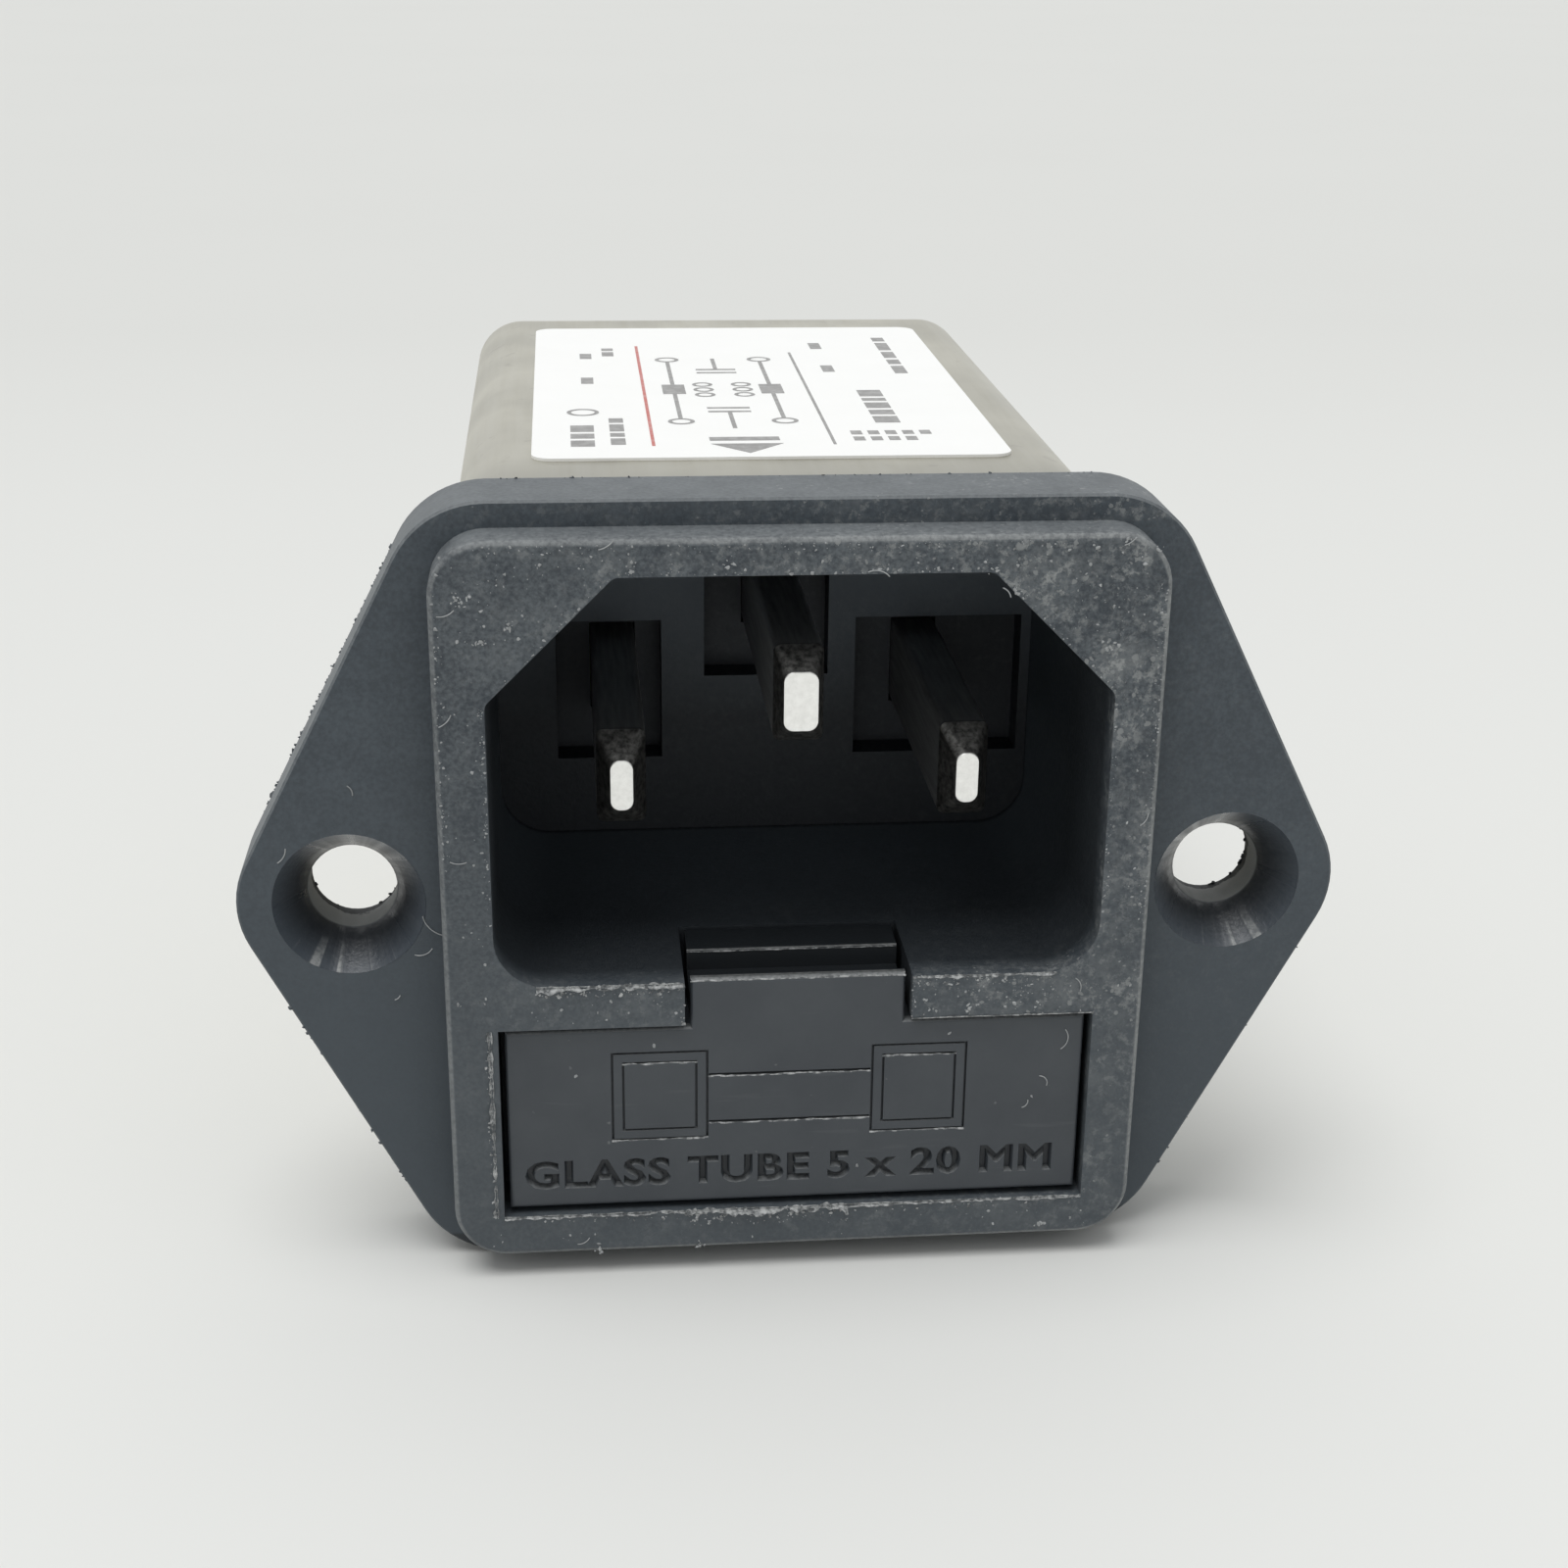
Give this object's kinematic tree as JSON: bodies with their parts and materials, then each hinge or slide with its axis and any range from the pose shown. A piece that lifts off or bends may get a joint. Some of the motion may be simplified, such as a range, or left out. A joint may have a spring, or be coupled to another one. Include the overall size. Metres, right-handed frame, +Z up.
{
  "type": "power entry module",
  "caption": "Flanged mains power inlet with recessed blade pins, a pull-out fuse drawer below and a metal-cased line filter behind that ends in quick-connect tabs.",
  "frame": {"origin": "on the panel face (the rear face of the flange), midway between the two fixing holes", "axes": "+X to the right seen from the front, +Y through the panel towards the rear tabs, +Z up with the plug opening above the fuse drawer"},
  "size_m": [0.045, 0.0578, 0.033],
  "materials": {
    "housing_nylon": "fine moulded grain, dusty",
    "drawer_nylon": "fine moulded grain",
    "pin_plate": "dull nickel plate",
    "fuse_glass": "clear",
    "fuse_cap_plate": "nickel plate",
    "fuse_wire": "tinned",
    "clip_bronze": "bare phosphor bronze",
    "board_laminate": "laminate",
    "liner_film": "insulating film",
    "ferrite": "coated ferrite",
    "enamelled_copper": "enamelled copper wire",
    "x_cap_case": "moulded box",
    "y_cap_coat": "epoxy coat",
    "resistor_body": "lacquer",
    "strap_plate": "tin plate",
    "can_tinplate": "tin plated sheet",
    "label_paper": "white film with grey print",
    "base_nylon": "moulded",
    "tab_plate": "tin plate",
    "rivet_steel": "plated"
  },
  "bodies": {
    "module": {"inlet_housing": "housing_nylon", "line_pin": "pin_plate", "neutral_pin": "pin_plate", "earth_pin": "pin_plate", "line_fuse_clip": "clip_bronze", "load_fuse_clip": "clip_bronze", "filter_board": "board_laminate", "choke_foot": "liner_film", "choke_core": "ferrite", "choke_winding_line": "enamelled_copper", "choke_winding_neutral": "enamelled_copper", "x_capacitor": "x_cap_case", "y_capacitor_line": "y_cap_coat", "y_capacitor_neutral": "y_cap_coat", "bleed_resistor": "resistor_body", "earth_strap": "strap_plate", "insulating_liner": "liner_film", "shield_can": "can_tinplate", "rating_label": "label_paper", "terminal_base": "base_nylon", "line_load_tab": "tab_plate", "neutral_load_tab": "tab_plate", "earth_tab": "tab_plate", "earth_rivet": "rivet_steel"},
    "drawer": {"fuse_drawer": "drawer_nylon", "fuse_glass": "fuse_glass", "fuse_cap_left": "fuse_cap_plate", "fuse_cap_right": "fuse_cap_plate", "fuse_wire": "fuse_wire"}
  },
  "joints": [
    {"name": "drawer_slide", "type": "slide", "parent": "module", "child": "drawer", "axis": [0, -1, 0], "range_m": [0, 0.022]}
  ]
}
